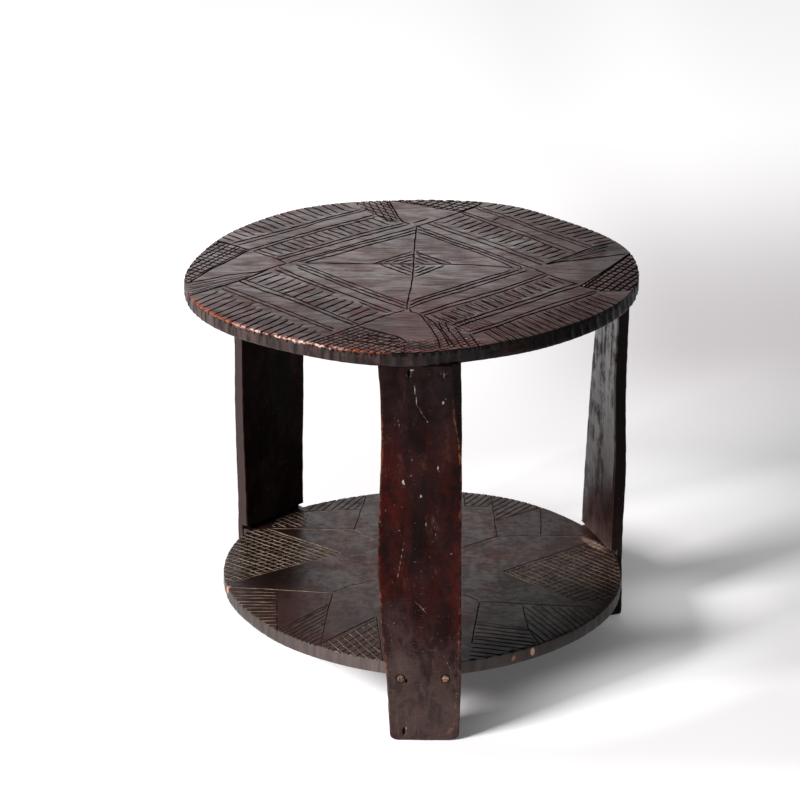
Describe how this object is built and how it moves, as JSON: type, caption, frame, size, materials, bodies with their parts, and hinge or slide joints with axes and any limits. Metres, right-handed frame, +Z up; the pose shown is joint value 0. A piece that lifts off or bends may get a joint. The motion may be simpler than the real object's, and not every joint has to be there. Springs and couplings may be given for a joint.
{
  "type": "african drum table",
  "caption": "Low round side table in dark wood: carved round top and lower shelf, joined and pegged to plank legs.",
  "frame": {"origin": "the middle of the whole table's footprint, on the floor", "axes": "+Z up, square to the tabletop; -Y towards the broad front leg; +X to the right seen from the front"},
  "size_m": [0.5006, 0.5054, 0.447],
  "materials": {
    "carved_wood": "dark stained and waxed, hand planed, worn sheen",
    "leg_wood": "dark red-brown, hewn, glossy from handling",
    "peg_wood": "paler brown end grain",
    "filler": "near-black filling, dull"
  },
  "bodies": {
    "root": {"filler_front": "filler", "filler_left": "filler", "filler_right": "filler", "leg_front": "leg_wood", "leg_left": "leg_wood", "leg_right": "leg_wood", "lower_shelf": "carved_wood", "shelf_peg_front_high": "peg_wood", "shelf_peg_front_low": "peg_wood", "shelf_peg_left_high": "peg_wood", "shelf_peg_left_low": "peg_wood", "shelf_peg_right_high": "peg_wood", "shelf_peg_right_low": "peg_wood", "tabletop": "carved_wood", "top_peg_front_high": "peg_wood", "top_peg_front_low": "peg_wood", "top_peg_left_high": "peg_wood", "top_peg_left_low": "peg_wood", "top_peg_right_high": "peg_wood", "top_peg_right_low": "peg_wood"}
  },
  "joints": []
}
